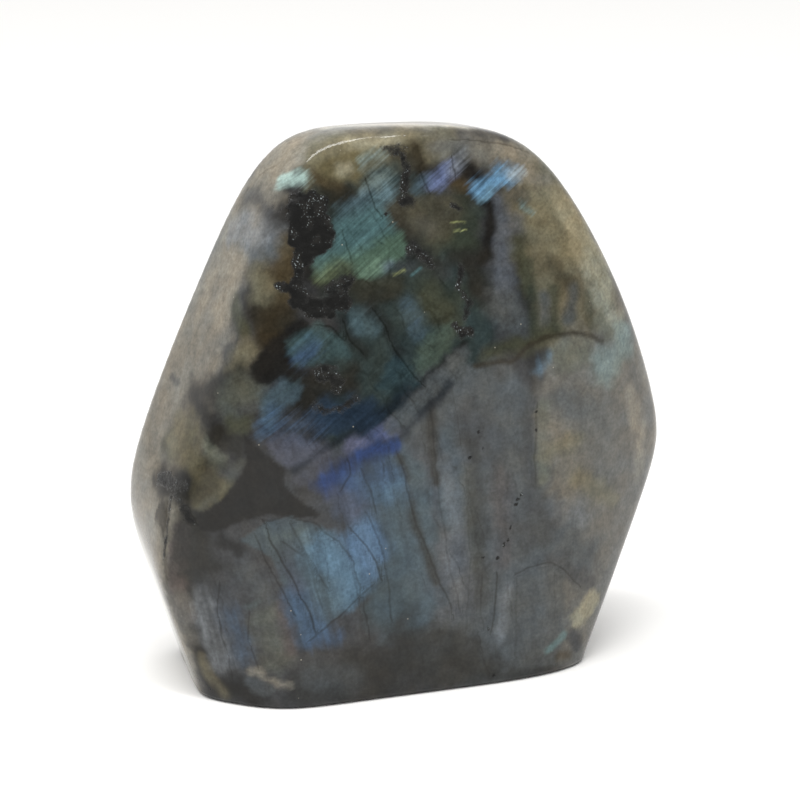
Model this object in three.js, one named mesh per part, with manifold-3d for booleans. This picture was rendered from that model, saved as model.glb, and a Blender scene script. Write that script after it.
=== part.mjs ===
// A polished free-form of labradorite that stands on its own sawn foot.
// Units are millimetres and +Z is up. The broad display face looks along -Y, and the origin is on the
// foot, under the middle of the stone's box.
//
// The stone is shaped as a lapidary shapes one: flats are ground round a rough block, the edges
// between them are worn round on the wheel, a low crest is left across the display face, and the foot
// is sawn flat. It is one solid piece.
import * as THREE from "three";
import { mergeVertices } from "three/addons/utils/BufferGeometryUtils.js";
import Module from "manifold-3d";

const wasm = await Module();
wasm.setup();

// The middle of the rough block is this far above the foot. Every flat is measured from it.
const MIDDLE_HEIGHT = 50;

// A ground flat: heading is the way it faces, in degrees from the front (-Y) towards the right (+X),
// tilt is how far it faces up, and reach is its distance from the middle of the block.
const OUTLINE_FLATS = {
  top: { heading: 165, tilt: 84, reach: 53 },
  leftShoulder: { heading: -72, tilt: 42, reach: 48 },
  leftUpper: { heading: -84, tilt: 18, reach: 37.6 },
  leftLower: { heading: -100, tilt: -19, reach: 51.2 },
  rightCrown: { heading: 95, tilt: 62, reach: 56.6 },
  rightShoulder: { heading: 97, tilt: 36, reach: 50.4 },
  rightUpper: { heading: 98, tilt: 22, reach: 47.9 },
  rightLower: { heading: 98, tilt: -30, reach: 53.6 },
};
const FACE_FLATS = {
  frontLeft: { heading: -42, tilt: 6, reach: 33 },
  frontRightLower: { heading: 32, tilt: -3, reach: 36.3 },
  frontRightUpper: { heading: 34, tilt: 16, reach: 40 },
  leftFoot: { heading: -50, tilt: -18, reach: 49.5 },
  backLower: { heading: 178, tilt: 0, reach: 20 },
  backUpper: { heading: 184, tilt: 16, reach: 20 },
  backLeft: { heading: -145, tilt: 8, reach: 39 },
  backRight: { heading: 140, tilt: 8, reach: 38 },
};
const ROUGH_BOTTOM = { heading: 0, tilt: -90, reach: 60 };

// The display face is almost upright below its crest and leans back above it. The crest wanders
// across the face through these points, given as width and height from the middle.
const FRONT_REACH = 20;
const LEAN_BELOW_CREST = 2;
const LEAN_ABOVE_CREST = 11;
const CREST = new THREE.SplineCurve([
  new THREE.Vector2(-50, 2),
  new THREE.Vector2(-28, -1),
  new THREE.Vector2(-10, -3),
  new THREE.Vector2(2, 3),
  new THREE.Vector2(14, 11),
  new THREE.Vector2(30, 14),
  new THREE.Vector2(60, 13),
]);

// How gently neighbouring flats run into each other: a larger wear gives a rounder edge.
const OUTLINE_WEAR = 2.4;
const CREST_WEAR = 0.5;
const FACE_WEAR = 2.5;
const RIM_WEAR = 1.3;

// The proportions of the ball of facets that is ground down, so that the thin rim gets facets as
// small as those of the broad faces.
const BALL = new THREE.Vector3(46, 24, 56);
const BALL_DETAIL = 20;
const LONGEST_REACH = 120;
const SAW_BLOCK = 300;

const STONE_COLOUR = 0x4a4f52;
const POLISHED_ROUGHNESS = 0.12;

function facing({ heading, tilt }) {
  const turn = THREE.MathUtils.degToRad(heading);
  const rise = THREE.MathUtils.degToRad(tilt);
  const level = Math.cos(rise);
  return new THREE.Vector3(Math.sin(turn) * level, -Math.cos(turn) * level, Math.sin(rise));
}

// How far a point is outside a flat, negative inside the stone.
function outside(flat) {
  const normal = facing(flat);
  return (point) => normal.dot(point) - flat.reach;
}

// The largest of several distances, with the edge between them worn round.
function worn(distances, wear) {
  const most = Math.max(...distances);
  const sum = distances.reduce((total, distance) => total + Math.exp((distance - most) / wear), 0);
  return most + wear * Math.log(sum);
}

// The height of the crest at a width, by halving along its curve, which always runs to the right.
function crestHeight(width) {
  let left = 0;
  let right = 1;
  for (let step = 0; step < 24; step += 1) {
    const half = (left + right) / 2;
    if (CREST.getPoint(half).x < width) left = half;
    else right = half;
  }
  return CREST.getPoint(left).y;
}

function outsideFront(point) {
  const aboveCrest = point.z - crestHeight(point.x);
  const leans = [LEAN_BELOW_CREST, LEAN_ABOVE_CREST].map(
    (lean) => aboveCrest * Math.tan(THREE.MathUtils.degToRad(lean)),
  );
  return worn(leans, CREST_WEAR) - point.y - FRONT_REACH;
}

const outline = Object.values(OUTLINE_FLATS).map(outside);
const faces = [outsideFront, ...Object.values(FACE_FLATS).map(outside)];
const outsideBottom = outside(ROUGH_BOTTOM);

function outsideStone(point) {
  const side = worn(outline.map((flat) => flat(point)), OUTLINE_WEAR);
  const face = worn(faces.map((flat) => flat(point)), FACE_WEAR);
  return Math.max(worn([side, face], RIM_WEAR), outsideBottom(point));
}

// The point of the ground surface that lies in a direction from the middle, found by halving.
function groundPoint(direction) {
  let inner = 0;
  let outer = LONGEST_REACH;
  for (let step = 0; step < 32; step += 1) {
    const half = (inner + outer) / 2;
    if (outsideStone(direction.clone().multiplyScalar(half)) < 0) inner = half;
    else outer = half;
  }
  return direction.clone().multiplyScalar(inner);
}

// A closed mesh with only positions, in which facets share their corners.
function weld(geometry) {
  geometry.deleteAttribute("normal");
  geometry.deleteAttribute("uv");
  return mergeVertices(geometry);
}

function groundBlock() {
  const block = weld(new THREE.IcosahedronGeometry(1, BALL_DETAIL));
  const corners = block.getAttribute("position");
  const direction = new THREE.Vector3();
  for (let i = 0; i < corners.count; i += 1) {
    direction.fromBufferAttribute(corners, i).multiply(BALL).normalize();
    corners.setXYZ(i, ...groundPoint(direction));
  }
  return block.translate(0, 0, MIDDLE_HEIGHT);
}

function toSolid(geometry) {
  const vertProperties = new Float32Array(geometry.getAttribute("position").array);
  const triVerts = new Uint32Array(geometry.index.array);
  return new wasm.Manifold(new wasm.Mesh({ numProp: 3, vertProperties, triVerts }));
}

function toGeometry(solid) {
  const { vertProperties, triVerts } = solid.getMesh();
  const geometry = new THREE.BufferGeometry();
  geometry.setAttribute("position", new THREE.BufferAttribute(vertProperties, 3));
  geometry.setIndex(new THREE.BufferAttribute(triVerts, 1));
  return geometry;
}

// The saw takes off everything below the foot.
function sawnFlat(block) {
  const saw = weld(new THREE.BoxGeometry(SAW_BLOCK, SAW_BLOCK, SAW_BLOCK));
  saw.translate(0, 0, -SAW_BLOCK / 2);
  return toGeometry(toSolid(block).subtract(toSolid(saw)));
}

// Brings the middle of the stone's box over the origin, with the foot left on the ground.
function centred(geometry) {
  geometry.computeBoundingBox();
  const centre = geometry.boundingBox.getCenter(new THREE.Vector3());
  return geometry.translate(-centre.x, -centre.y, 0);
}

const stone = new THREE.Mesh(
  centred(sawnFlat(groundBlock())),
  new THREE.MeshStandardMaterial({ color: STONE_COLOUR, roughness: POLISHED_ROUGHNESS, metalness: 0 }),
);
stone.name = "labradorite";

const freeform = new THREE.Group();
freeform.add(stone);

export default freeform;
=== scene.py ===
"""The looks of a polished labradorite free-form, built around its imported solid."""
import math

import bpy
import numpy as np
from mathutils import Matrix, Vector, noise


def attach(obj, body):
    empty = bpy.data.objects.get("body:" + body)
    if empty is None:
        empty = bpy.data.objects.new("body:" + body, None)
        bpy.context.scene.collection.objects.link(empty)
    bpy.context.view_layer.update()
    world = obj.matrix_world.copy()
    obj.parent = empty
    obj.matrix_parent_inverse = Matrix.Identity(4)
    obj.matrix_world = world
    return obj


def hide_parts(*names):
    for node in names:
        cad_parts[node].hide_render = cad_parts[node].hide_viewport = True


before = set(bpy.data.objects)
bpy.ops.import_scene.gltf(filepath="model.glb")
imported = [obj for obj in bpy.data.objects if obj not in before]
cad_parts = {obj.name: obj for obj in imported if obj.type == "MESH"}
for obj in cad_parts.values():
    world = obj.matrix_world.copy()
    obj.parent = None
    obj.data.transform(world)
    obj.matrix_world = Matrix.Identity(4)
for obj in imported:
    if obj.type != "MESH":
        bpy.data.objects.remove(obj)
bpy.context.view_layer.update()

MM = 0.001

# The camera looks down on the display face from its left.
VIEW_TURN = -22
VIEW_RISE = 15
VIEW_DISTANCE = 600 * MM
VIEW_AIM = Vector((-4.9, -9.4, 53.3)) * MM
LENS = 147
SENSOR = 36
PICTURE = 800
NEAREST_SEEN = 10 * MM

# The polished skin: one even mesh, finer on the display side, the smoothing that takes the ground
# facets out, and the foot's arris.
SKIN_GRAIN = 0.9 * MM
POLISH_PASSES = 8
POLISH_STRENGTH = 0.5
FOOT_SPARE = 8 * MM
ARRIS = 1.4 * MM
ARRIS_STEPS = 4
WELD = 0.001 * MM

# What counts as facing down and as flat down, and the most corners of a face that isn't the saw's cut.
FACES_DOWN = -0.9
FLAT_DOWN = -0.99
FEW_CORNERS = 8

# Mineral colours, as they are without gloss; some also serve for painted shade and painted highlight.
COLOURS = {
    "ilmenite": "#10100f", "charcoal": "#1c1b19", "soot": "#252420", "smoke": "#38393a",
    "pewter": "#464a4b", "ash": "#5d5c57", "linen": "#69655b", "bone": "#7c776b",
    "haze": "#6c7073", "chalk": "#a39e90", "straw": "#89836d", "drab": "#67624f",
    "olive": "#3a3b2e", "gold": "#5c543c", "honey": "#443b2a", "umber": "#2a261d",
    "mauve": "#4c4543", "plum": "#454853", "moss": "#2d332b", "sage": "#595c52",
    "reed": "#868779", "dusk": "#2c3534", "teal": "#38494a", "lagoon": "#435c5e",
    "sea": "#475b4e", "slate": "#415057", "steel": "#3e5267", "denim": "#37495f",
    "harbour": "#4b6476", "ink": "#131a22", "navy": "#1f2b38", "royal": "#1f3561",
    "cobalt": "#2d4e77", "cornflower": "#4f6984", "sky": "#6189a8", "aqua": "#5a6e6d",
    "celadon": "#6f7c78", "mist": "#8ea49e", "violet": "#5a6584", "lavender": "#494d52",
    "lime": "#545c43", "citron": "#9aa06c", "khaki": "#4b4735", "loam": "#423f35",
    "periwinkle": "#4e536a", "heather": "#566070", "frost": "#97a0a2", "fern": "#5a6f5f",
    "pigeon": "#566a70", "lichen": "#5b655f", "bottle": "#3d4840", "petrol": "#26353a",
}

# The minerals of the stone, with painted shade and painted highlight among them, in the order in which
# they are laid over each other. Each has the places that it runs through, given as pixels of the
# picture or, out of sight, in millimetres, its half width in millimetres (0 for a pane, whose places are
# its corners), its colour, its share and, where it isn't soft, its edge.
MINERALS_AND_PAINTED_LIGHT = {
    "left_base": ([(-34, 8, 80), (-46, 8, 34), (-40, 10, 8)], 14, "ash", 1),
    "right_base": ([(40, -4, 84), (52, -4, 52), (44, -4, 10)], 14, "ash", 1),
    "left_side": ([(-32, 4, 82), (-41, 4, 52), (-48, 4, 32), (-42, 4, 8)], 12, "linen", 1),
    "left_back": ([(-30, 16, 72), (-38, 16, 40)], 8, "ash", 0.8, "broad"),
    "left_back_low": ([(-40, 12, 28), (-34, 16, 10)], 7, "drab", 0.6, "broad"),
    "right_side": ([(40, 2, 82), (50, 2, 54), (50, 2, 34), (40, 2, 8)], 9, "ash", 1),
    "right_side_pale": ([(46, -3, 68), (51, -3, 50), (48, -3, 32)], 5, "bone", 0.8),
    "right_back": ([(38, 12, 70), (44, 10, 44)], 6, "drab", 0.7, "broad"),
    "right_back_low": ([(44, 8, 28), (36, 12, 8)], 6, "smoke", 0.8, "broad"),
    "top_side": ([(-18, 3, 103), (22, 3, 103)], 11, "linen", 1),
    "top_dark": ([(-6, 10, 103), (4, 12, 103)], 4, "mauve", 0.7, "broad"),
    "back_field": ([(-20, 20, 76), (8, 20, 50), (24, 20, 18)], 19, "pewter", 0.9, "broad"),
    "back_lavender": ([(-22, 20, 22), (-8, 20, 40)], 10, "lavender", 0.8, "broad"),
    "back_dusk": ([(-4, 20, 72), (14, 20, 58)], 9, "dusk", 0.9, "broad"),
    "back_drab": ([(20, 20, 82), (30, 18, 62)], 8, "drab", 0.8, "broad"),
    "back_straw": ([(24, 19, 80), (28, 18, 70)], 4, "straw", 0.6, "broad"),
    "back_olive": ([(-14, 20, 92), (4, 20, 86)], 7, "olive", 0.8, "broad"),
    "back_bone": ([(-30, 18, 62), (-26, 19, 48)], 5, "bone", 0.6, "broad"),
    "back_umber": ([(-18, 20, 56), (-10, 20, 50)], 5, "umber", 0.9, "broad"),
    "back_soot": ([(4, 20, 14), (-14, 20, 8)], 6, "soot", 0.8, "broad"),
    "back_slate": ([(10, 20, 34), (26, 20, 40)], 6, "slate", 0.7, "broad"),
    "back_halo": ([(20, 20, 32), (28, 19, 27)], 4, "soot", 0.7, "broad"),

    "right_edge": ([(47, -6, 62), (51, -3, 52), (50, -3, 40)], 6, "linen", 1),
    "upper_field": ([(372, 225), (420, 320), (390, 390)], 13.5, "dusk", 1),
    "right_field": ([(545, 200), (575, 300)], 10, "drab", 0.7),
    "lower_plain": ([(470, 440), (490, 620)], 15, "pewter", 1),
    "lower_cool": ([(440, 470), (450, 590)], 6, "lavender", 0.7),
    "lower_right": ([(595, 390), (605, 520), (585, 610)], 12, "ash", 1),
    "lower_left": ([(250, 590), (310, 650)], 13, "smoke", 0.9),
    "lower_blue": ([(390, 490), (400, 600)], 7, "slate", 0.7),
    # Darker along the foot.
    "foot_field": ([(300, 690), (550, 664)], 3, "soot", 0.7),

    "flank_upper": ([(285, 155), (252, 205)], 6, "bone", 1),
    "flank_middle": ([(236, 240), (214, 300)], 7.5, "bone", 0.7),
    "flank_lower": ([(195, 350), (168, 430)], 7, "linen", 0.9),
    "flank_rim": ([(150, 450), (142, 480)], 3.5, "linen", 0.9),
    "flank_foot": (
        [(134, 492), (164, 497), (167, 520), (164, 545), (163, 580), (168, 604), (162, 596), (154, 573),
         (143, 545)],
        0, "umber", 0.9, "crisp",
    ),
    "shoulder_grey": ([(314, 148), (334, 133)], 1.5, "bone", 0.9),
    "shoulder_mauve": ([(248, 198), (270, 211)], 2.4, "smoke", 0.8),
    "shoulder_pale": ([(262, 180), (280, 195)], 1.8, "linen", 0.6),
    # Partly painted reflection: the bluish-grey haze on the flank stands partly for the lamp light
    # mirrored there.
    "flank_haze": ([(236, 230), (270, 242)], 3, "haze", 0.8),
    "flank_grey": ([(252, 252), (276, 254)], 1.6, "pewter", 0.7),
    "flank_honey": ([(286, 246), (280, 300), (268, 332)], 2, "honey", 0.9),
    "flank_honey_wide": ([(262, 314), (292, 318)], 3, "umber", 0.8),
    "flank_sand": ([(258, 274), (262, 290)], 2.2, "drab", 0.8),
    "flank_moss": ([(236, 304), (241, 330)], 1.4, "olive", 0.9),
    "flank_rose": ([(214, 292), (205, 322)], 2.2, "ash", 0.5),
    "flank_mist": ([(222, 332), (204, 366)], 2.6, "ash", 0.5),
    "flank_gold": ([(246, 350), (236, 372)], 2.2, "drab", 0.8),
    "flank_band": ([(190, 394), (216, 392), (246, 380)], 2.6, "charcoal", 0.9),
    "flank_band_low": ([(194, 406), (208, 422)], 2.4, "charcoal", 0.95),
    "flank_spot": ([(171, 377), (178, 383)], 0.7, "smoke", 0.7, "firm"),
    "flank_straw": ([(168, 446), (188, 438)], 3.2, "olive", 0.85),
    "sage_left": ([(226, 402), (250, 390)], 2.6, "sage", 0.5),

    "gold": ([(182, 432), (204, 484)], 4, "khaki", 0.9),
    "gold_top": ([(172, 442), (182, 426)], 2, "drab", 0.6),
    "gold_heart": ([(208, 468), (206, 492)], 1.6, "umber", 0.6),
    "pale_sage": ([(209, 447), (218, 458)], 1.3, "sage", 0.8, "firm"),
    "rim_smudge": ([(160, 480), (186, 488)], 3, "charcoal", 1),
    "rim_smudge_low": ([(180, 498), (192, 522)], 2.2, "soot", 0.9),
    "left_edge": ([(181, 532), (178, 560), (177, 585), (184, 612)], 2.1, "mauve", 0.9, "firm"),
    "pale_sage_low": ([(214, 462), (226, 466)], 1.2, "olive", 0.6),
    "dark_brow": ([(216, 436), (236, 446)], 1.8, "soot", 0.9, "firm"),
    "olive_dot": ([(232, 421), (243, 424)], 1.5, "olive", 1),

    "brown_upper": ([(262, 338), (292, 324)], 2.2, "umber", 0.8),
    "brown_dark": ([(264, 370), (284, 350), (298, 334)], 2.6, "charcoal", 1, "firm"),
    "brown_dark_low": ([(270, 371), (290, 372)], 1.9, "charcoal", 0.9, "firm"),
    "middle_shadow": ([(300, 392), (345, 388)], 3, "soot", 0.8),

    # The top strip: its pale chalk is partly the stone's colour, partly a painted reflection of the bright
    # room above.
    "top": ([(330, 127), (460, 127)], 1.8, "chalk", 1),
    "crown_field": ([(322, 150), (440, 144)], 3.2, "drab", 1),
    "crown_gold": ([(322, 170), (352, 166)], 3, "gold", 1),
    "crown_gold_pale": ([(340, 170), (347, 168)], 1.2, "straw", 0.8),
    "crown_honey": ([(312, 174), (322, 182), (336, 188)], 1.3, "honey", 0.9),
    # Painted highlight: pale straw along the front rim, for the light that the rim catches.
    "crown_rim_highlight": ([(350, 142), (396, 140)], 1.3, "straw", 0.9),
    "crown_brown": ([(417, 150), (421, 168)], 1.6, "umber", 0.9),
    "crown_mauve": ([(440, 146), (476, 147)], 1.8, "ash", 0.8),
    "brow_mauve": ([(484, 152), (520, 156)], 2.6, "linen", 0.9),
    "brow_rose": ([(500, 148), (512, 152)], 1.2, "bone", 0.8),
    "brow_right": ([(532, 168), (546, 190)], 2.6, "bone", 0.7),
    "brow_olive": ([(458, 184), (468, 190)], 1.5, "honey", 0.8),

    "brow_field": ([(545, 212), (566, 256)], 4.6, "drab", 1),
    "brow_pale": ([(572, 218), (594, 256)], 2.8, "straw", 1),
    "brow_pale_top": ([(556, 195), (570, 212)], 2.2, "straw", 0.6),
    "brow_red": ([(554, 264), (566, 282)], 1.7, "umber", 0.6),
    "sage_right": ([(598, 272), (612, 312)], 3, "reed", 0.9),
    "sage_right_low": ([(600, 318), (606, 330)], 1.8, "sage", 0.8),
    "lavender_band": ([(496, 208), (504, 250), (500, 296)], 2.2, "lavender", 1),
    "lavender_right": ([(516, 222), (514, 250)], 1.6, "lavender", 0.7),
    "lavender_foot": ([(497, 302), (510, 322)], 3, "pewter", 0.9),
    "brow_smudge": ([(520, 240), (526, 286)], 1.6, "olive", 0.9),
    "brow_spots": ([(506, 189), (523, 199)], 1.6, "smoke", 0.5, "firm"),
    "smear_left": ([(530, 292), (534, 328)], 1.2, "moss", 0.7),
    "smear_middle": ([(553, 288), (556, 326)], 1.1, "moss", 0.7),
    "smear_right": ([(588, 296), (591, 326)], 0.9, "moss", 0.4),
    "smear_pale": ([(543, 296), (546, 322)], 1.2, "pewter", 0.8),
    "smear_grey": ([(573, 292), (572, 320)], 1.3, "pewter", 0.8),
    "crest_shadow": ([(490, 354), (530, 342), (556, 328)], 1.6, "olive", 0.9),

    "green_block": ([(456, 208), (464, 238)], 3.2, "moss", 1),
    "olive_middle": ([(424, 212), (434, 230)], 3, "olive", 0.9),
    "grey_middle": ([(402, 264), (440, 272)], 1.8, "smoke", 0.5),
    "green_middle": ([(428, 288), (450, 302)], 2.8, "moss", 0.7),
    "crest_dark": ([(464, 344), (446, 360), (430, 376), (414, 392)], 0.8, "ilmenite", 0.9, "firm"),
    "olive_pale": ([(422, 222), (430, 228)], 1.4, "ash", 0.5),
    "lens_edge": ([(477, 192), (488, 209), (491, 232), (486, 255), (473, 263)], 1.2, "charcoal", 1),
    "lens_shade": ([(454, 257), (480, 258)], 1.7, "soot", 0.8),
    "zigzag_shade": ([(470, 272), (478, 296)], 2, "soot", 0.9),
    "olive_low": ([(430, 296), (450, 318)], 2.6, "olive", 0.7),
    "bar_shadow": ([(352, 290), (392, 288)], 2, "olive", 0.8),
    "slate_pane": (
        [(346, 308), (370, 306), (383, 322), (380, 335), (360, 336), (348, 326)], 0, "pigeon", 0.3, "firm",
    ),
    "blue_pane": (
        [(398, 298), (410, 292), (424, 308), (429, 334), (416, 345), (404, 328)], 0, "slate", 0.5, "firm",
    ),
    "green_pane": (
        [(420, 347), (432, 332), (452, 320), (456, 332), (446, 352), (424, 374), (416, 364)],
        0, "bottle", 0.9, "firm",
    ),
    "dusk_pane": ([(384, 318), (398, 310), (411, 344), (398, 350)], 0, "dusk", 0.8, "firm"),
    "petrol_pane": (
        [(374, 386), (396, 354), (416, 374), (420, 386), (398, 402)], 0, "petrol", 0.9, "firm",
    ),
    "navy_pane": (
        [(326, 434), (328, 414), (352, 406), (372, 394), (378, 410), (358, 428), (340, 437)],
        0, "navy", 0.8, "firm",
    ),
    "heart_pane": (
        [(288, 342), (302, 332), (320, 322), (344, 338), (350, 356), (330, 363), (300, 366), (290, 354)],
        0, "teal", 0.7, "firm",
    ),
    "low_ring": ([(316, 384), (340, 388), (352, 372)], 2, "soot", 0.7),
    "wedge_pane": (
        [(262, 440), (276, 430), (306, 438), (334, 448), (318, 462), (292, 468), (274, 456)],
        0, "plum", 0.8, "firm",
    ),
    "lens_pane": (
        [(256, 420), (262, 396), (282, 380), (304, 384), (298, 400), (280, 412), (270, 430)],
        0, "slate", 0.6, "firm",
    ),
    "loam": ([(392, 212), (420, 204), (444, 208)], 3.4, "loam", 0.7),
    "loam_low": ([(404, 228), (430, 232)], 2.4, "loam", 0.6),
    "gap_dark": ([(381, 214), (398, 222), (412, 240)], 1.4, "charcoal", 0.5),
    "spot_halo": ([(408, 246), (432, 262)], 2.2, "soot", 0.7),
    "ore_halo": ([(322, 200), (344, 196)], 1.8, "umber", 0.8),
    "ore_halo_low": ([(330, 286), (362, 296), (392, 292)], 2.4, "soot", 0.7),
    "crown_dark": ([(392, 150), (406, 160), (405, 200)], 1.5, "soot", 0.75),
    "middle_dark": ([(372, 306), (386, 332), (398, 352)], 1.2, "charcoal", 0.6),
    "middle_dark_left": ([(345, 318), (352, 338), (366, 352)], 1, "charcoal", 0.6),

    "right_top": ([(560, 356), (584, 350)], 2.6, "sage", 0.8),
    "right_corner": ([(604, 368), (622, 342)], 3.2, "celadon", 0.8),
    "right_corner_top": ([(618, 328), (628, 350)], 1.8, "celadon", 0.7),
    # Pale along the right rim: partly the stone's pale edge, partly a painted reflection of light caught
    # at a grazing angle.
    "right_rim": ([(630, 392), (641, 430), (639, 470)], 1.8, "bone", 0.9),
    "plain_shade": ([(468, 420), (490, 446)], 3, "smoke", 0.6),
    "plain_slate": ([(446, 440), (452, 520)], 2.2, "slate", 0.5),
    "plain_pale": ([(446, 540), (458, 596)], 1.2, "haze", 0.35),
    "streak_brown": ([(429, 390), (431, 430), (436, 480)], 1, "umber", 0.75),
    "streak_umber": ([(399, 458), (408, 495), (418, 530), (436, 580)], 0.9, "umber", 0.7),
    "streak_slate": ([(420, 470), (432, 540)], 1.3, "slate", 0.5),
    "streak_sage": ([(466, 470), (476, 560)], 1.4, "sage", 0.35),
    "streak_dark": ([(472, 442), (474, 490), (480, 535)], 1.6, "soot", 0.5),
    "streak_low": ([(478, 540), (480, 570), (482, 600)], 1.2, "soot", 0.45),
    "streak_pale": ([(444, 458), (452, 500), (458, 536)], 1.2, "haze", 0.4),
    "plain_edge": ([(531, 404), (529, 450), (530, 506)], 1.6, "smoke", 0.45),
    # Painted shade on the dark side of the shell-shaped arcs, and their paler side next to it.
    "shell_shade": ([(538, 510), (550, 522), (558, 536)], 1.4, "smoke", 0.6),
    "shell_pale": ([(566, 516), (580, 530), (590, 548)], 1.5, "ash", 0.6),
    "brown_band": ([(500, 474), (505, 558)], 2, "mauve", 0.45),
    "edge_pale": ([(544, 408), (543, 480)], 1.3, "sage", 0.8),
    "right_sage": ([(552, 430), (570, 460), (566, 486)], 3, "linen", 0.7),
    "right_straw": ([(552, 454), (575, 440)], 1.7, "drab", 0.7),
    "right_straw_low": ([(578, 476), (596, 488), (614, 500)], 2, "drab", 0.8),
    "right_dark": ([(560, 400), (580, 404)], 2, "pewter", 0.6),
    "low_right": ([(540, 542), (590, 556)], 4, "pewter", 0.8),
    "low_right_dark": ([(556, 562), (590, 584)], 1.8, "smoke", 0.6),
    "blotch_left": ([(516, 522), (530, 536)], 2, "smoke", 0.5),
    "blotch_right": ([(558, 508), (584, 520)], 2, "haze", 0.4),
    "slab": (
        [(498, 576), (514, 573), (527, 567), (552, 563), (566, 570), (564, 640), (556, 664),
         (492, 670), (490, 632)],
        0, "pewter", 0.7, "firm",
    ),
    "slab_pale": ([(506, 584), (503, 610), (500, 636)], 1.2, "haze", 0.5),
    "foot_straw": ([(579, 616), (594, 600)], 2.1, "straw", 0.9, "firm"),
    "foot_umber": ([(571, 636), (577, 645)], 1.4, "smoke", 0.9, "firm"),
    "foot_brown": ([(558, 656), (569, 656)], 0.8, "honey", 0.7, "firm"),
    "foot_dark": ([(405, 640), (450, 652)], 4.2, "soot", 0.75),
    "foot_dark_right": ([(460, 655), (490, 662)], 3, "soot", 0.6),
    "low_dark": ([(360, 660), (400, 668)], 3.4, "soot", 0.8),

    "left_dark": ([(190, 540), (204, 572)], 5, "soot", 0.8),
    "left_grey": ([(196, 598), (226, 588)], 3, "smoke", 0.8),
    "left_mauve": ([(178, 596), (190, 636)], 1.8, "ash", 0.7),
    "sage_low": ([(266, 615), (275, 655)], 2.6, "sage", 0.5),
    "brown_low": ([(283, 600), (290, 650)], 1.2, "mauve", 0.7),
    "dark_blotch": ([(222, 540), (240, 552)], 1.3, "charcoal", 0.8, "firm"),
    "olive_grey": ([(245, 576), (262, 590)], 2.2, "pewter", 0.6),
    "rim_brown": ([(203, 660), (209, 676), (224, 692)], 1.3, "drab", 0.6),

    "dark_pane": (
        [(244, 434), (262, 451), (285, 470), (283, 485), (293, 495), (320, 514), (316, 518),
         (270, 514), (245, 520), (215, 533), (198, 529), (194, 516), (220, 501), (245, 470)],
        0, "charcoal", 1, "crisp",
    ),
    "crescent": ([(241, 462), (234, 473), (227, 485), (216, 497), (204, 506)], 0.8, "sage", 0.25, "firm"),
    "fan": (
        [(240, 540), (264, 523), (289, 516), (316, 525), (339, 542), (352, 563), (359, 586), (357, 599),
         (310, 640), (296, 622), (286, 590), (272, 558)],
        0, "slate", 0.55, "crisp",
    ),
    "crest_ink": ([(360, 430), (376, 418), (392, 408), (408, 392)], 1.6, "ink", 0.8),
    "smile_shade": ([(330, 470), (356, 460), (384, 447), (404, 432)], 1.8, "ink", 0.7),
    "ribbon_shade": ([(412, 421), (430, 403), (447, 385)], 1.1, "ink", 0.7),
    # The smile band along the crest: partly the stone's own pale band, partly a painted highlight where
    # the crest catches the light.
    "smile_left": ([(302, 479), (318, 466), (336, 454), (352, 446)], 1.5, "plum", 0.4, "firm"),
    "smile_middle": ([(352, 446), (370, 438), (392, 427)], 1.6, "periwinkle", 0.9, "firm"),
    "smile_right": (
        [(392, 427), (410, 408), (428, 389), (450, 367), (461, 353)],
        1.6, "pewter", 0.8, "firm",
    ),
    "smile_gap": ([(294, 471), (313, 457), (331, 445), (348, 436)], 0.6, "ink", 0.7, "firm"),
    "crest_line": (
        [(476, 366), (514, 360), (525, 349), (543, 338), (571, 333), (590, 336), (602, 341)],
        0.5, "umber", 0.8, "firm",
    ),
    "foot_chip": (
        [(247, 669), (254, 667), (263, 670), (268, 677), (277, 681), (290, 683), (290, 689), (277, 687),
         (264, 680), (252, 676)],
        0, "bone", 0.7, "firm",
    ),
    "low_slab": ([(252, 684), (268, 690)], 1.3, "pewter", 0.7, "firm"),
    "low_slab_right": ([(312, 676), (352, 674)], 2.4, "pewter", 0.5),
}
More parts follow.
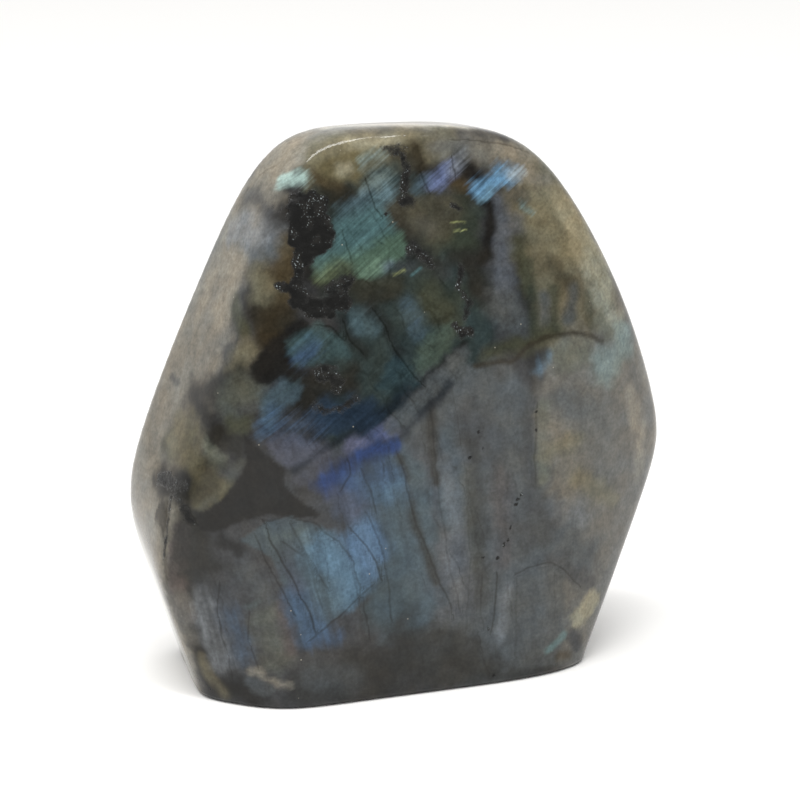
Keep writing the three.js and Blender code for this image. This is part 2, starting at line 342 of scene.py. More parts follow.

# Where the layers of the feldspar flash, a painted reflection, the same from every side: the places,
# half width, colour and share, as for the minerals.
FLASHES = {
    "crown_mist": ([(284, 181), (299, 178)], 1.4, "mist", 0.9),
    "crown_stripes": ([(362, 164), (378, 152)], 1.2, "celadon", 0.75),
    "bar_top": ([(370, 187), (384, 176)], 1.4, "celadon", 0.75),
    "block": ([(374, 202), (388, 192)], 1.5, "pigeon", 1),
    "bar_slate": ([(346, 210), (364, 199)], 1.5, "slate", 0.9),
    "bar_slate_low": ([(342, 226), (370, 212)], 1.8, "lagoon", 0.85),
    "bar_teal": ([(350, 238), (382, 222)], 1.6, "lagoon", 0.9),
    "bar_teal_low": ([(352, 248), (388, 234)], 1.4, "lagoon", 0.9),
    "bar_sea": ([(358, 258), (398, 242)], 1.5, "sea", 1),
    "bar_sea_low": ([(362, 270), (400, 252)], 1.4, "sea", 0.9),
    "bar_lime": ([(360, 275), (378, 266)], 1, "fern", 0.8),
    "branch_teal": ([(317, 258), (340, 247)], 1.5, "lagoon", 0.7),
    "branch_sea": ([(322, 268), (344, 258)], 1.3, "sea", 0.55),
    "branch_lime": ([(320, 278), (342, 270)], 1.3, "lime", 0.6),
    "violet_dot": ([(387, 267), (391, 265)], 0.7, "heather", 0.4),
    "lime_line": ([(394, 275), (404, 270)], 0.35, "citron", 0.6),
    "teal_line": ([(411, 275), (421, 268)], 0.35, "lagoon", 0.7),
    "lime_lines_top": ([(451, 223), (466, 222)], 0.2, "citron", 0.6),
    "lime_lines_low": ([(453, 231), (467, 230)], 0.2, "citron", 0.6),
    "crown_violet": ([(435, 180), (446, 170)], 1.6, "violet", 0.95),
    "crown_violet_top": ([(456, 166), (464, 154)], 1.3, "haze", 0.7),
    "crown_slate": ([(415, 192), (423, 180)], 1.2, "slate", 0.8),
    "crown_sky": ([(482, 186), (508, 174)], 1.8, "sky", 0.95),
    "crown_sky_low": ([(482, 198), (490, 191)], 1, "aqua", 0.4),
    "crown_sky_pale": ([(511, 174), (522, 170)], 0.8, "frost", 0.8),
    "brow_aqua": ([(522, 206), (532, 212)], 0.9, "aqua", 0.6),
    "royal_heart": ([(300, 356), (313, 347)], 1.6, "denim", 0.85),
    "royal_top": ([(292, 342), (306, 338), (330, 336)], 1.3, "lagoon", 0.35),
    "pane_slate": ([(356, 321), (376, 314)], 1.6, "pigeon", 0.25),
    "pane_blue": ([(406, 304), (414, 326)], 1.5, "steel", 0.3),
    "pane_green": ([(428, 354), (444, 334)], 1.6, "bottle", 0.6),
    "pane_petrol": ([(388, 376), (408, 372)], 2, "teal", 0.4),
    "lens": ([(266, 400), (290, 388)], 2, "teal", 0.35),
    "lens_royal": ([(262, 428), (272, 414)], 1.7, "steel", 0.65),
    "lens_right": ([(288, 425), (316, 424)], 2.8, "denim", 0.45),
    "wedge": ([(280, 448), (322, 454)], 1.4, "plum", 0.5),
    "crest_navy": ([(335, 411), (366, 418)], 3, "navy", 0.9),
    "blue_field": ([(352, 500), (390, 484)], 3, "denim", 0.7),
    "blue_purple": ([(336, 494), (356, 508)], 2, "plum", 0.7),
    "blue_pale": ([(384, 492), (396, 486)], 1.8, "harbour", 0.6),
    "smile_royal": ([(362, 457), (380, 448), (394, 444)], 1.6, "royal", 0.9),
    "smile_royal_left": ([(324, 483), (344, 475)], 1.9, "royal", 0.85),
    "smile_blue": ([(352, 482), (384, 470)], 1.6, "denim", 0.7),
    "strip_sky": ([(352, 538), (360, 556), (366, 574)], 2, "cornflower", 1),
    "strip_steel": ([(372, 524), (380, 552)], 1.6, "cornflower", 1),
    "fan_top": ([(278, 534), (298, 533), (318, 543)], 1.8, "lichen", 0.5),
    "fan_right": ([(320, 552), (342, 576), (350, 592)], 3.2, "harbour", 1),
    "fan_middle": ([(304, 572), (328, 600)], 2.6, "slate", 0.8),
    "fan_foot": ([(294, 598), (304, 616), (312, 630)], 2.2, "steel", 1),
    "fan_under": ([(316, 644), (334, 640)], 1.6, "denim", 0.6),
    "fan_inner": ([(282, 556), (296, 586)], 1.4, "plum", 0.6),
    "left_blue": ([(204, 602), (206, 626), (213, 648), (222, 664)], 2.2, "haze", 0.7),
    "left_steel": ([(232, 616), (240, 636), (244, 654)], 2.2, "steel", 0.5),
    "left_mint": ([(249, 607), (260, 601)], 0.7, "aqua", 0.4),
    "plain_steel": ([(398, 500), (393, 562)], 2, "slate", 0.5),
    "right_stripes": ([(538, 372), (549, 355)], 1.4, "harbour", 0.55),
    "foot_aqua": ([(549, 651), (564, 634)], 0.7, "aqua", 1),

    "back_blue": ([(-2, 20, 66), (10, 20, 72)], 4, "steel", 0.8),
    "back_blue_low": ([(4, 20, 60), (14, 20, 62)], 2.6, "cobalt", 0.6),
    "back_teal": ([(2, 20, 52), (18, 20, 56)], 3.2, "teal", 0.9),
    "back_lagoon": ([(14, 20, 50), (22, 20, 54)], 2, "lagoon", 0.7),
    "back_sea": ([(-24, 20, 70), (-16, 20, 78)], 3, "sea", 0.6),
    "back_denim": ([(-16, 20, 34), (-4, 20, 26)], 5, "denim", 0.6),
    "back_harbour": ([(12, 20, 26), (20, 20, 32)], 3, "harbour", 0.5),
}

# Black ore, as for the minerals.
ORES = {
    "big": (
        [(290, 194), (312, 190), (330, 198), (328, 212), (336, 232), (332, 246), (317, 254),
         (312, 262), (296, 268), (293, 250), (286, 232), (284, 212)],
        0, 0.85,
    ),
    "big_left": ([(264, 206), (286, 212)], 0.9, 0.35),
    "big_tail": ([(297, 265), (297, 292)], 1.3, 0.8),
    "big_foot": ([(298, 301), (318, 307), (340, 300)], 2, 0.65),
    "big_toe": ([(312, 313), (332, 314)], 1.2, 0.75),
    "big_right": ([(331, 288), (346, 282)], 1.4, 0.58),
    "crown": ([(386, 148), (404, 150)], 1.5, 0.46),
    "crown_tail_top": ([(403, 154), (406, 168)], 0.8, 0.65),
    "crown_tail": ([(406, 174), (404, 190)], 0.8, 0.9),
    "crown_tail_foot": ([(401, 200), (411, 203)], 0.9, 0.65),
    "lens_spot": ([(451, 206), (461, 209)], 0.6, 0.7),
    "spot": ([(412, 246), (420, 252)], 1.2, 0.58),
    "spot_right": ([(424, 256), (432, 262)], 1.2, 0.58),
    "zigzag": ([(460, 266), (459, 288), (464, 295), (470, 303), (466, 316)], 0.8, 0.62),
    "zigzag_foot": ([(456, 328), (462, 333), (470, 331)], 1, 0.75),
    "flank_dot": ([(279, 285), (286, 287)], 0.8, 1),
    "low": ([(322, 370), (330, 374), (338, 382)], 1.8, 0.56),
    "low_arc": ([(314, 404), (326, 411), (340, 408), (356, 400)], 1, 0.55),
    "rim": ([(160, 478), (184, 487)], 1.4, 0.6),
    "rim_foot": ([(176, 498), (190, 520)], 1.4, 0.55),
    "rim_line": ([(171, 496), (167, 530), (164, 560)], 0.5, 0.7),
    "back": ([(-14, 20, 48), (-11, 20, 53)], 3, 0.58),
    "back_side": ([(-8, 20, 58), (-4, 20, 56)], 2.2, 0.54),
    "back_foot": ([(-18, 20, 43), (-21, 20, 41)], 1.8, 0.54),
    "back_low": ([(22, 20, 31), (26, 19, 28)], 2.6, 0.54),
}

# Cracks, healed dark: the places that each runs through and how strong it is.
CRACKS = {
    "block_edge": ([(366, 180), (369, 192), (376, 208), (381, 215)], 0.8),
    "bars": ([(343, 232), (347, 246), (352, 262)], 0.6),
    "middle": ([(374, 310), (385, 330), (393, 349), (410, 368), (424, 386)], 0.8),
    "middle_left": ([(344, 322), (350, 340), (362, 352)], 0.7),
    "middle_arc": ([(318, 325), (330, 328), (345, 340)], 0.7),
    "violet_left": ([(422, 174), (429, 190)], 0.7),
    "violet_right": ([(452, 158), (456, 178)], 0.7),
    "fan_arc": ([(264, 522), (289, 516), (316, 525), (340, 542), (352, 562), (360, 586), (362, 600)], 0.6),
    "fan_straight": ([(372, 586), (340, 615), (310, 641)], 0.7),
    "fan_long": ([(262, 522), (278, 553), (295, 584), (311, 615), (318, 634)], 0.9),
    "fan_second": ([(255, 536), (266, 560), (280, 586), (294, 614)], 0.7),
    "fan_third": ([(284, 542), (309, 560), (330, 590)], 0.5),
    "fan_fourth": ([(292, 524), (308, 560), (322, 606)], 0.5),
    "arc_outer": ([(351, 529), (366, 545), (376, 562), (381, 580)], 0.8),
    "arc_last": ([(367, 513), (382, 549), (389, 589), (392, 620)], 0.6),
    "arc_foot": ([(361, 593), (366, 615), (370, 638)], 0.6),
    "low_long": ([(249, 611), (249, 642), (258, 667)], 0.6),
    "upright": ([(397, 453), (405, 480), (412, 508), (420, 533), (433, 565), (443, 590), (454, 617)], 0.6),
    "upright_left": ([(388, 462), (394, 490), (402, 515)], 0.4),
    "upright_brown": ([(430, 411), (435, 453), (437, 480)], 0.5),
    "upright_middle": ([(437, 480), (446, 540), (452, 580), (460, 610)], 0.4),
    "upright_right": ([(466, 470), (470, 560), (466, 630)], 0.3),
    "plain_edge": ([(537, 405), (535, 482)], 0.5),
    "slab_arc": ([(515, 573), (527, 567), (552, 563), (565, 569), (580, 586)], 0.6),
    "slab_left": ([(483, 569), (481, 611), (483, 628)], 0.4),
    "slab_edge": ([(498, 573), (494, 609), (490, 632)], 0.7),
    "slab_inner": ([(517, 576), (516, 655)], 0.3),
    "slab_right": ([(555, 573), (554, 617)], 0.3),
    "low_left": ([(219, 584), (217, 611), (224, 642), (233, 678)], 0.7),
    "royal": ([(348, 461), (350, 474), (341, 489)], 0.8),
    "royal_right": ([(362, 470), (372, 495), (376, 512)], 0.6),
    "flank": ([(275, 166), (259, 175), (243, 196), (234, 214)], 0.5),
    "rim_right": ([(450, 139), (505, 144), (528, 153)], 0.6),
    "back": ([(-20, 20, 88), (-4, 20, 70), (2, 20, 40), (14, 20, 14)], 0.7),
    "back_branch": ([(-4, 20, 70), (20, 20, 60), (30, 18, 46)], 0.6),
}

# How cracked the stone is, as for the minerals.
CRACKED = {
    "upper": ([(362, 230), (420, 300), (390, 400)], 10, 0.45),
    "royal": ([(330, 480), (390, 455)], 7, 0.7),
    "fan": ([(300, 560), (330, 610)], 8, 0.5),
    "plain": ([(450, 440), (470, 620)], 12, 0.5),
    "low_left": ([(210, 600), (260, 660)], 6, 0.4),
    "back": ([(-10, 20, 80), (10, 20, 30)], 22, 0.5),
}
UNCRACKED = 0.12

# Black pits in the polish, as pixels of the picture.
PITS = [
    (479, 432), (483, 448), (536, 412), (536, 430), (483, 558), (498, 558), (488, 629), (494, 675),
    (470, 458), (386, 214), (516, 505), (510, 528), (518, 499), (504, 545), (508, 540), (522, 494),
]
PIT_SIZE = 0.3

# How wide an edge is, and how far it strays, with the size of its lumps, all in millimetres. A narrow
# stroke's edge and stray are held to a share of its half width. The seed keeps the strays the same.
EDGES = {"broad": 3.5, "soft": 2.2, "firm": 0.8, "crisp": 0.3}
STRAY = {
    "broad": (13, 7), "soft": (5, 2.4), "flash": (3.8, 1.4), "firm": (2.4, 0.8), "crisp": (1.6, 0.3),
}
STRAY_SEED = 23
FINE_LUMPS = 2.7
FINE_STRAY = 0.6
EDGE_SHARE = 0.8
STRAY_SHARE = 0.65
FLASH_EDGE = 3.2
FLASH_EDGE_SHARE = 1.5
ORE_EDGE = 1
TINY = 1e-9

# A trace of a flash reaches past its edge, so that the flash keeps its colour as it fades.
FAINTEST = 0.0001

# How far from a crack it is noted, half its width, and its share of the soft stray.
CRACK_REACH = 0.9
CRACK_WIDTH = 0.42
CRACK_STRAY = 0.4

# The grey clouds under the minerals, and how deep the ore is worn, in lumps, where there is enough of it.
CLOUD_SIZE = 14
CLOUD_OCTAVES = 4
CLOUD_SPAN = (-0.5, 0.5)
ORE_DEPTH = 0.12
ORE_LUMP = 1.4
ORE_WORN = (0.4, 0.7)

# The face leans back above its crest: the upward part of its normal just below and just above.
CREST_LEAN = (0.09, 0.15)

# The layers of the feldspar below and above the crest, a web of hair cracks above it and upright hairs
# below: how they lie on the display face, in degrees, how long they run and how far apart they are, in
# millimetres. The layers that make the colour are too thin to show, so they are drawn much coarser.
LAYERS = {"lower": (-78, 26, 1.5), "upper": (37, 12, 0.5)}
HAIR_CRACKS = {"web": (-56, 9, 4), "hairs": (-80, 44, 5)}
LAYER_DETAIL = 3
LAYER_TRACE = {"To Min": 1.07, "To Max": 0.93}
WEB_WIDTH = 0.09
HAIR_WIDTH = 0.02
WOBBLE_SIZE = 2.4
WOBBLE_DETAIL = 3
WOBBLE = (2, 2, 2)

# A flash is held back between its layers, and they differ in strength.
FLASH_GAIN = 1.25
FLASH_HELD_BACK = 0.3
FLASH_STRENGTH = {"To Min": 1.2, "To Max": 0.72}

# The noises of the stone: the size of the lumps in millimetres, the detail and the roughness, the span
# that counts, from and to, and what it becomes, from and to.
NOISES = {
    "mottle": (3, 8, 0.72, 0.3, 0.7, 0.68, 1.32),
    "grain": (0.6, 3, 0.5, 0.3, 0.7, 0.84, 1.16),
    "warmth": (6.5, 4, 0.5, 0.35, 0.65, 0, 1),
    "patches": (4, 3, 0.5, 0.38, 0.6, 0.1, 1),
    "glints": (0.32, 1, 0.5, 0.62, 0.76, 0, 0.9),
    "clusters": (2.2, 1, 0.5, 0.48, 0.62, 0, 1),
}
NOISE_SPAN = {"From Min": 0.3, "From Max": 0.7}
NOISE_MIDDLE = 0.5

# Factors on the colour where the stone is cool or warm, and in a healed crack.
COOL = (0.95, 1, 1.06, 1)
WARM = (1.06, 1, 0.93, 1)
HEALED = (0.4, 0.37, 0.34, 1)

# Ore: its grains in millimetres, where they cover the stone, and their relief. Bright specks: how far
# apart they are in millimetres, and how they fade out.
ORE_GRAIN = 1.3
ORE_NOISE = {"Scale": 1 / ORE_GRAIN, "Detail": 6, "Roughness": 0.7}
ORE_COVER = {"From Min": 0.78, "From Max": 1.12}
ORE_RELIEF = {"Strength": 0.5, "Distance": 0.3 * MM}
SPECK_SPACING = 5
SPECK_FADE = {"From Min": 0.034, "From Max": 0.012, "To Max": 0.8}

FELDSPAR_IOR = 1.56
POLISHED = 0.08
GLOSS = 0.2
GRITTY = 0.4

# Node settings that recur.
PRODUCT = {"operation": "MULTIPLY"}
TINTED = {"data_type": "RGBA"}
MULTIPLIED = {"data_type": "RGBA", "blend_type": "MULTIPLY"}
SMOOTH = {"interpolation_type": "SMOOTHSTEP"}

# The studio: the paper floor, the light from the front to the back of the room and towards its ceiling,
# and the lamps, each with its heading and tilt from the stone, its distance, size and power, and whether
# it shows as a glint. Lengths are in metres.
PAPER = "#f6f5f3"
PAPER_ROUGHNESS = 0.9
FLOOR_RADIUS = 4
FLOOR_SIDES = 96
WHITE = (1, 1, 1, 1)
BACKDROP = {"From Min": -0.3, "From Max": 0.5, "To Min": 0.1, "To Max": 1.0}
CEILING = {"From Min": 0.35, "From Max": 0.9, "To Max": 1.3}
LAMPS = {
    "softbox": (-40, 72, 0.9, (0.9, 0.12), 6, True),
    "fill": (-30, 30, 1.2, (0.8, 0.8), 4, False),
}


def linear(colour):
    """The linear colour of an sRGB hex value."""
    parts = [int(colour[i:i + 2], 16) / 255 for i in (1, 3, 5)]
    return [p / 12.92 if p <= 0.04045 else ((p + 0.055) / 1.055) ** 2.4 for p in parts] + [1]


def shown_socket(sockets, name):
    """A socket that is in use, by its name or its number."""
    shown = [socket for socket in sockets if socket.enabled]
    return shown[name] if isinstance(name, int) else next(s for s in shown if s.name == name)


def add(tree, kind, inputs, out=0, **settings):
    """Adds a node with its settings, sets or links its inputs, and gives back an output."""
    node = tree.nodes.new("ShaderNode" + kind)
    for name, value in settings.items():
        setattr(node, name, value)
    for name, value in inputs.items():
        socket = shown_socket(node.inputs, name)
        if isinstance(value, bpy.types.NodeSocket):
            tree.links.new(value, socket)
        else:
            socket.default_value = value
    return shown_socket(node.outputs, out) if node.outputs else node


def new_material(name):
    material = bpy.data.materials.new(name)
    material.use_nodes = True
    material.node_tree.nodes.clear()
    return material, material.node_tree


def way(heading, tilt):
    """The direction at a heading from the front towards the right, and a tilt up."""
    turn = math.radians(heading)
    rise = math.radians(tilt)
    return Vector((math.sin(turn) * math.cos(rise), -math.cos(turn) * math.cos(rise), math.sin(rise)))


def aimed(name, data, out, distance):
    """A camera or a lamp that faces the stone, from a direction and a distance."""
    thing = bpy.data.objects.new(name, data)
    bpy.context.scene.collection.objects.link(thing)
    thing.location = VIEW_AIM + out * distance
    thing.rotation_euler = (-out).to_track_quat("-Z", "Y").to_euler()
    return thing


# Camera

def place_camera():
    lens = bpy.data.cameras.new("camera")
    lens.lens = LENS
    lens.sensor_width = SENSOR
    lens.clip_start = NEAREST_SEEN
    camera = aimed("camera", lens, way(VIEW_TURN, VIEW_RISE), VIEW_DISTANCE)
    bpy.context.scene.camera = camera
    bpy.context.view_layer.update()
    return camera


def seen_at(camera, stone, pixel):
    """The place on the stone that the camera sees at a pixel of the picture."""
    half = SENSOR / LENS / 2
    across = (pixel[0] / PICTURE * 2 - 1) * half
    up = (1 - pixel[1] / PICTURE * 2) * half
    ray = camera.matrix_world.to_3x3() @ Vector((across, up, -1)).normalized()
    hit, place, _, _ = stone.ray_cast(camera.location, ray)
    if not hit:
        raise ValueError(f"the stone isn't seen at {pixel}")
    return place


# Stone

def edit_all():
    bpy.ops.object.mode_set(mode="EDIT")
    bpy.ops.mesh.select_all(action="SELECT")


def select_faces(piece, wanted):
    """Selects the faces that pass a test, and leaves the piece in edit mode."""
    bpy.ops.object.mode_set(mode="EDIT")
    bpy.ops.mesh.select_mode(type="FACE")
    bpy.ops.mesh.select_all(action="DESELECT")
    bpy.ops.object.mode_set(mode="OBJECT")
    for face in piece.data.polygons:
        face.select = wanted(face)
    bpy.ops.object.mode_set(mode="EDIT")


def apply_modifier(piece, kind, **settings):
    modifier = piece.modifiers.new(kind.lower(), kind)
    for name, value in settings.items():
        setattr(modifier, name, value)
    bpy.ops.object.modifier_apply(modifier=modifier.name)


def polished_stone():
    """The stone's skin: the ground solid, polished smooth, with its foot cut flat and the arris eased."""
    stone = bpy.data.objects.new("polished_stone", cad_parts["labradorite"].data.copy())
    bpy.context.scene.collection.objects.link(stone)
    stone.data.materials.clear()
    bpy.ops.object.select_all(action="DESELECT")
    stone.select_set(True)
    bpy.context.view_layer.objects.active = stone

    # The foot is drawn out, so that the polish rounds it off below the cut.
    edit_all()
    bpy.ops.mesh.remove_doubles(threshold=WELD)
    select_faces(stone, lambda face: face.normal.z < FACES_DOWN and face.center.z < ARRIS)
    bpy.ops.mesh.extrude_region_move(TRANSFORM_OT_translate={"value": (0, 0, -FOOT_SPARE)})
    bpy.ops.object.mode_set(mode="OBJECT")

    apply_modifier(stone, "SUBSURF", levels=1, render_levels=1)
    apply_modifier(stone, "REMESH", mode="VOXEL", voxel_size=SKIN_GRAIN)
    apply_modifier(stone, "SMOOTH", factor=POLISH_STRENGTH, iterations=POLISH_PASSES)

    # The cut is one flat face with many corners, and is set in step by step round the arris.
    edit_all()
    bpy.ops.mesh.bisect(plane_co=(0, 0, ARRIS), plane_no=(0, 0, 1), use_fill=True, clear_inner=True)
    select_faces(stone, lambda face: face.normal.z < FLAT_DOWN and len(face.vertices) > FEW_CORNERS)
    for step in range(ARRIS_STEPS):
        start = math.pi / 2 * step / ARRIS_STEPS
        end = math.pi / 2 * (step + 1) / ARRIS_STEPS
        bpy.ops.mesh.inset(
            thickness=ARRIS * (math.cos(start) - math.cos(end)),
            depth=ARRIS * (math.sin(end) - math.sin(start)),
        )
    display_side = way(VIEW_TURN, VIEW_RISE)
    select_faces(stone, lambda face: face.normal.dot(display_side) > 0)
    bpy.ops.mesh.subdivide(number_cuts=1)
    bpy.ops.object.mode_set(mode="OBJECT")
    bpy.ops.object.shade_smooth()
    return stone


# Where the minerals lie

def tint(name):
    return np.array(linear(COLOURS[name])[:3])


def smooth_step(start, end, value):
    share = np.clip((value - start) / (end - start), 0, 1)
    return share * share * (3 - 2 * share)


def along_line(places, line):
    """How far each place is from a line through several places, and on which side of it."""
    reach = np.full(len(places), np.inf)
    side = np.ones(len(places))
    for start, end in zip(line, line[1:] or line):
        run = end - start
        share = np.clip((places - start) @ run / max(run @ run, TINY), 0, 1)
        apart = places - start - share[:, None] * run
        distance = np.linalg.norm(apart, axis=1)
        nearer = distance < reach
        reach[nearer] = distance[nearer]
        side[nearer] = np.sign(apart[nearer] @ np.array((-run[2], 0, run[0])))
    return reach, side


def outside_pane(places, corners):
    """How far each place is outside a pane of the display face, negative inside it."""
    reach, _ = along_line(places * (1, 0, 1), [c * (1, 0, 1) for c in corners + corners[:1]])
    x, y, z = places.T
    inside = np.zeros(len(places), bool)
    for (x0, _, z0), (x1, _, z1) in zip(corners, corners[1:] + corners[:1]):
        crossed = (z0 > z) != (z1 > z)
        inside ^= crossed & (x < (x1 - x0) * (z - z0) / (z1 - z0 + TINY) + x0)
    return np.where(y < 0, np.where(inside, -reach, reach), np.inf)


def outside(places, spots, half):
    """How far each place is outside a mineral, negative inside it."""
    return along_line(places, spots)[0] - half if half else outside_pane(places, spots)


def wander(places, size):
    """A shift at each place, in lumps of a size, that makes what is drawn there ragged."""
    coarse = [noise.noise_vector(Vector(place) / size) for place in places]
    fine = [noise.noise_vector(Vector(place) * FINE_LUMPS / size) for place in places]
    return np.array(coarse) + np.array(fine) * FINE_STRAY


def ground_colours(places, beyond):
    """The stone without its flashes: cloudy grey, with minerals, painted shade and highlight laid over it
    in turn.
    """
    clouds = np.array([noise.fractal(Vector(p) / CLOUD_SIZE, 1, 2, CLOUD_OCTAVES) for p in places])
    clouds = smooth_step(*CLOUD_SPAN, clouds)[:, None]
    ground = tint("charcoal") * (1 - clouds) + tint("smoke") * clouds
    for points, half, colour, amount, *edge in MINERALS_AND_PAINTED_LIGHT.values():
        edge = edge[0] if edge else "soft"
        width = min(EDGES[edge], half * EDGE_SHARE) if half else EDGES[edge]
        share = amount * smooth_step(width, -width, beyond(points, half, edge))
        ground += share[:, None] * (tint(colour) - ground)
    return np.column_stack((ground, np.ones(len(ground))))


def flash_colours(places, beyond):
    """The colour of the flashes, and how much of it shows."""
    flash = np.zeros((len(places), 4))
    for points, half, colour, amount in FLASHES.values():
        apart = beyond(points, half, "flash")
        width = min(FLASH_EDGE, half * FLASH_EDGE_SHARE)
        trace = smooth_step(width * 2, 0, apart) * FAINTEST
        share = np.maximum(amount * smooth_step(width, -width, apart), trace)
        flash += share[:, None] * (np.append(tint(colour), 1) - flash)
    flash[:, :3] /= np.maximum(flash[:, 3:], FAINTEST ** 2)
    return flash


def ore_share(places, beyond, spots):
    """How much ore there is, in its patches and in the pits."""
    ore = np.zeros(len(places))
    for points, half, amount in ORES.values():
        apart = beyond(points, half, "flash" if half else "firm")
        ore = np.maximum(ore, amount * smooth_step(ORE_EDGE, -ORE_EDGE, apart))
    for point in PITS:
        apart = outside(places, spots([point]), PIT_SIZE)
        ore = np.maximum(ore, smooth_step(PIT_SIZE, -PIT_SIZE, apart))
    return ore


def crack_lines(places, spots):
    """How far each place is from its nearest crack, with a sign for the side, and how strong that is."""
    crack = np.full(len(places), CRACK_REACH)
    strength = np.zeros(len(places))
    for points, amount in CRACKS.values():
        reach, side = along_line(places, spots(points))
        nearer = reach < np.abs(crack)
        crack[nearer] = (reach * side)[nearer]
        strength[nearer] = (amount * smooth_step(CRACK_REACH, CRACK_REACH / 2, reach))[nearer]
    return crack, strength


def cracked_share(places, beyond):
    cracked = np.full(len(places), UNCRACKED)
    for points, half, amount in CRACKED.values():
        share = smooth_step(half / 2, -half / 2, beyond(points, half, "soft"))
        cracked = np.maximum(cracked, amount * share)
    return cracked


def lay_minerals_and_painted_light(stone, camera):
    """Notes on the skin where each mineral, painted shade and highlight lies, and wears the soft ore below
    the feldspar.
    """
    mesh = stone.data
    places, facing = np.empty((2, len(mesh.vertices) * 3))
    mesh.vertices.foreach_get("co", places)
    mesh.vertices.foreach_get("normal", facing)
    places = places.reshape(-1, 3) / MM
    facing = facing.reshape(-1, 3)
    noise.seed_set(STRAY_SEED)
    shifts = {edge: wander(places, size) for edge, (size, _) in STRAY.items()}

    def spot(point):
        """The place on the stone, in millimetres, at a pixel or nearest to a place."""
        if len(point) == 2:
            return np.array(seen_at(camera, stone, point) / MM)
        return np.array(stone.closest_point_on_mesh(Vector(point) * MM)[1] / MM)

    def spots(points):
        return [spot(point) for point in points]

    def beyond(points, half, edge):
        reach = STRAY[edge][1]
        ragged = places + shifts[edge] * (min(reach, half * STRAY_SHARE) if half else reach)
        return outside(ragged, spots(points), half)

    ore = ore_share(places, beyond, spots)
    crack, crack_share = crack_lines(places + shifts["soft"] * CRACK_STRAY, spots)
    noted = {
        "ground": ground_colours(places, beyond),
        "flash": flash_colours(places, beyond),
        "upper": smooth_step(*CREST_LEAN, facing[:, 2]),
        "ore": ore,
        "crack": crack,
        "crack_share": crack_share,
        "cracked": cracked_share(places, beyond),
    }
    for name, values in noted.items():
        kind, field = ("FLOAT", "value") if values.ndim == 1 else ("FLOAT_COLOR", "color")
        mesh.attributes.new(name, kind, "POINT").data.foreach_set(field, values.ravel())

    lumps = np.array([noise.noise(Vector(place) / ORE_LUMP) for place in places])
    worn = smooth_step(*ORE_WORN, ore) * ORE_DEPTH * (1 + lumps)
    mesh.vertices.foreach_set("co", ((places - facing * worn[:, None]) * MM).ravel())
    mesh.update()


# Labradorite

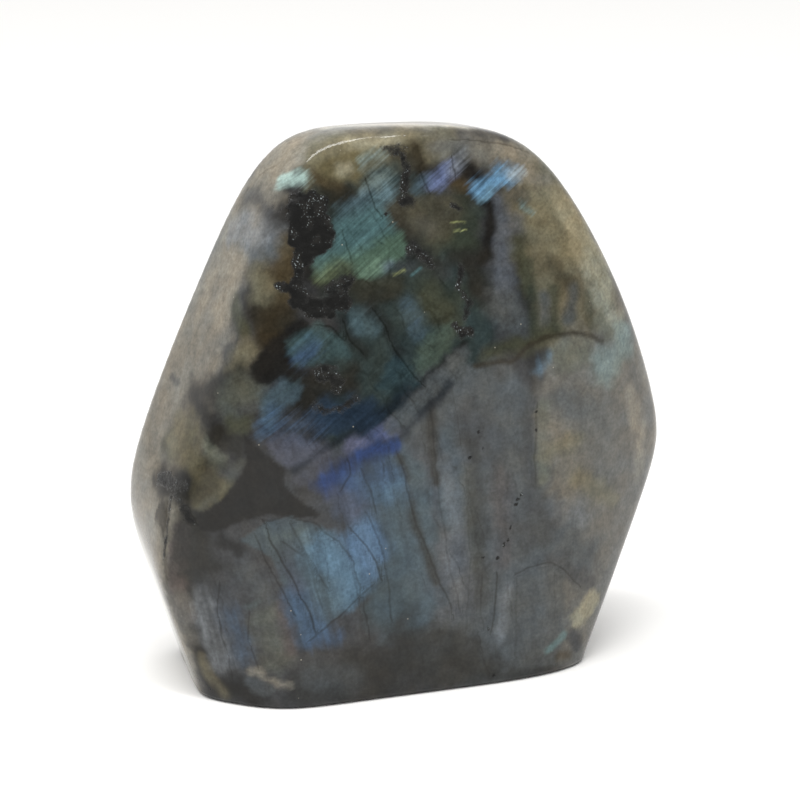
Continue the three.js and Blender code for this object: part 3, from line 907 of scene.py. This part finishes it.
def labradorite():
    """Labradorite, hand-polished: a dark glossy feldspar whose thin layers flash blue, teal and violet."""
    material, tree = new_material("polished_labradorite")
    place = add(tree, "TexCoord", {}, out="Object")
    place = add(tree, "VectorMath", {0: place, "Scale": 1 / MM}, operation="SCALE")
    noted = {
        name: add(tree, "Attribute", {}, out="Fac", attribute_name=name)
        for name in ("upper", "ore", "crack", "crack_share", "cracked")
    }
    noises = {}
    for name, (size, detail, roughness, low, high, least, most) in NOISES.items():
        lumps = {"Vector": place, "Scale": 1 / size, "Detail": detail, "Roughness": roughness}
        lumps = add(tree, "TexNoise", lumps)
        span = {"From Min": low, "From Max": high, "To Min": least, "To Max": most}
        noises[name] = add(tree, "MapRange", {"Value": lumps, **span})

    # Layers and hair cracks are drawn out along the display face, the cracks with a wobble.
    wobble = {"Vector": place, "Scale": 1 / WOBBLE_SIZE, "Detail": WOBBLE_DETAIL}
    wobble = add(tree, "TexNoise", wobble, out="Color")
    wobble = add(tree, "VectorMath", {0: wobble, 1: WOBBLE, 2: place}, operation="MULTIPLY_ADD")
    along = {}
    for kinds, start in ((LAYERS, place), (HAIR_CRACKS, wobble)):
        for name, (turn, length, spacing) in kinds.items():
            lie = {"Rotation": (0, math.radians(-turn), 0), "Scale": (length, length, spacing)}
            along[name] = add(tree, "Mapping", {"Vector": start, **lie}, vector_type="TEXTURE")
    lower, upper = [
        add(tree, "TexNoise", {"Vector": along[side], "Scale": 1, "Detail": LAYER_DETAIL})
        for side in LAYERS
    ]
    layers = add(tree, "Mix", {"Factor": noted["upper"], "A": lower, "B": upper})
    layers = add(tree, "MapRange", {"Value": layers, **NOISE_SPAN})

    # Milky mottling and grain, warm here and cool there, with a trace of the layers.
    colour = add(tree, "Attribute", {}, out="Color", attribute_name="ground")
    shade = add(tree, "Math", {0: noises["mottle"], 1: noises["grain"]}, **PRODUCT)
    trace = add(tree, "MapRange", {"Value": layers, **LAYER_TRACE})
    ground_shade = add(tree, "Math", {0: shade, 1: trace}, **PRODUCT)
    warmth = add(tree, "Mix", {"Factor": noises["warmth"], "A": COOL, "B": WARM}, **TINTED)
    for change in (warmth, ground_shade):
        colour = add(tree, "Mix", {"Factor": 1, "A": colour, "B": change}, **MULTIPLIED)

    # A flash fades out layer by layer, and its layers are of different strength.
    flash = add(tree, "Attribute", {}, out="Color", attribute_name="flash")
    share = shown_socket(flash.node.outputs, "Alpha")
    share = add(tree, "Math", {0: share, 1: FLASH_GAIN}, **PRODUCT)
    held_back = add(tree, "Math", {0: layers, 1: FLASH_HELD_BACK}, **PRODUCT)
    share = add(tree, "Math", {0: share, 1: held_back}, operation="SUBTRACT")
    share = add(tree, "MapRange", {"Value": share}, **SMOOTH)
    strength = add(tree, "MapRange", {"Value": layers, **FLASH_STRENGTH})
    strength = add(tree, "Math", {0: strength, 1: shade}, **PRODUCT)
    flash = add(tree, "Mix", {"Factor": 1, "A": flash, "B": strength}, **MULTIPLIED)
    colour = add(tree, "Mix", {"Factor": share, "A": colour, "B": flash}, **TINTED)

    # Cracks: the drawn ones are wide, and between them a web of hair cracks above the crest and
    # long upright hairs below it come and go.
    web = {"Vector": along["web"], "Scale": 1}
    web = add(tree, "TexVoronoi", web, feature="DISTANCE_TO_EDGE")
    web = add(tree, "MapRange", {"Value": web, "From Min": WEB_WIDTH, "From Max": 0}, **SMOOTH)
    hairs = add(tree, "TexNoise", {"Vector": along["hairs"], "Scale": 1, "Detail": 1})
    hairs = add(tree, "Math", {0: hairs, 1: NOISE_MIDDLE}, operation="SUBTRACT")
    hairs = add(tree, "Math", {0: hairs}, operation="ABSOLUTE")
    hairs = add(tree, "MapRange", {"Value": hairs, "From Min": HAIR_WIDTH, "From Max": 0})
    hairs = add(tree, "Mix", {"Factor": noted["upper"], "A": hairs, "B": web})
    for factor in (noted["cracked"], noises["patches"]):
        hairs = add(tree, "Math", {0: hairs, 1: factor}, **PRODUCT)
    crack = add(tree, "Math", {0: noted["crack"]}, operation="ABSOLUTE")
    crack = add(tree, "MapRange", {"Value": crack, "From Min": CRACK_WIDTH, "From Max": 0}, **SMOOTH)
    crack = add(tree, "Math", {0: crack, 1: noted["crack_share"]}, **PRODUCT)
    crack = add(tree, "Math", {0: crack, 1: hairs}, operation="MAXIMUM")
    colour = add(tree, "Mix", {"Factor": crack, "A": colour, "B": HEALED}, **MULTIPLIED)

    # Ilmenite, the ore: black and dull, in grains, with clusters of glints.
    black, grey, bright, speck_colour = [linear(COLOURS[c]) for c in ("ilmenite", "charcoal", "frost", "chalk")]
    grains = add(tree, "TexNoise", {"Vector": place, **ORE_NOISE})
    ragged = add(tree, "Math", {0: noted["ore"], 1: grains}, operation="ADD")
    ragged = add(tree, "MapRange", {"Value": ragged, **ORE_COVER}, **SMOOTH)
    glints = add(tree, "Math", {0: noises["glints"], 1: noises["clusters"]}, **PRODUCT)
    ore_colour = add(tree, "Mix", {"Factor": noises["clusters"], "A": black, "B": grey}, **TINTED)
    ore_colour = add(tree, "Mix", {"Factor": glints, "A": ore_colour, "B": bright}, **TINTED)
    colour = add(tree, "Mix", {"Factor": ragged, "A": colour, "B": ore_colour}, **TINTED)

    # Bright specks, small and far apart.
    specks = add(tree, "TexVoronoi", {"Vector": place, "Scale": 1 / SPECK_SPACING})
    specks = add(tree, "MapRange", {"Value": specks, **SPECK_FADE})
    colour = add(tree, "Mix", {"Factor": specks, "A": colour, "B": speck_colour}, **TINTED)

    rough = add(tree, "MapRange", {"Value": ragged, "To Min": POLISHED, "To Max": GRITTY})
    height = add(tree, "Math", {0: grains, 1: ragged}, **PRODUCT)
    bump = add(tree, "Bump", {"Height": height, **ORE_RELIEF})
    shader = add(
        tree, "BsdfPrincipled",
        {"Base Color": colour, "Roughness": rough, "IOR": FELDSPAR_IOR,
         "Specular IOR Level": GLOSS, "Normal": bump},
    )
    add(tree, "OutputMaterial", {"Surface": shader})
    return material


# Studio

def lay_floor():
    """White paper, matt, which throws a soft pale light up at the stone."""
    bpy.ops.object.select_all(action="DESELECT")
    bpy.ops.mesh.primitive_circle_add(vertices=FLOOR_SIDES, radius=FLOOR_RADIUS, fill_type="NGON")
    floor = bpy.context.object
    floor.name = "floor"
    material, tree = new_material("white_paper")
    shader = add(tree, "BsdfPrincipled", {"Base Color": linear(PAPER), "Roughness": PAPER_ROUGHNESS})
    add(tree, "OutputMaterial", {"Surface": shader})
    floor.data.materials.append(material)


def light_room():
    """A room that is dim in front of the stone and bright behind and above it, and the lamps."""
    world = bpy.data.worlds.new("studio")
    world.use_nodes = True
    bpy.context.scene.world = world
    tree = world.node_tree
    tree.nodes.clear()
    sight = add(tree, "TexCoord", {}, out="Generated")
    behind = add(tree, "SeparateXYZ", {"Vector": sight}, out="Y")
    above = add(tree, "SeparateXYZ", {"Vector": sight}, out="Z")
    behind = add(tree, "MapRange", {"Value": behind, **BACKDROP})
    above = add(tree, "MapRange", {"Value": above, **CEILING})
    strength = add(tree, "Math", {0: behind, 1: above}, operation="MAXIMUM")
    glow = add(tree, "Background", {"Color": WHITE, "Strength": strength})
    add(tree, "OutputWorld", {"Surface": glow})

    for name, (heading, tilt, distance, size, power, glossy) in LAMPS.items():
        light = bpy.data.lights.new(name, "AREA")
        light.shape = "RECTANGLE"
        light.size, light.size_y = size
        light.energy = power
        aimed(name, light, way(heading, tilt), distance).visible_glossy = glossy


camera = place_camera()
stone = polished_stone()
lay_minerals_and_painted_light(stone, camera)
stone.data.materials.append(labradorite())
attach(stone, "root")
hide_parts("labradorite")
lay_floor()
light_room()
bpy.context.scene.view_settings.view_transform = "Standard"
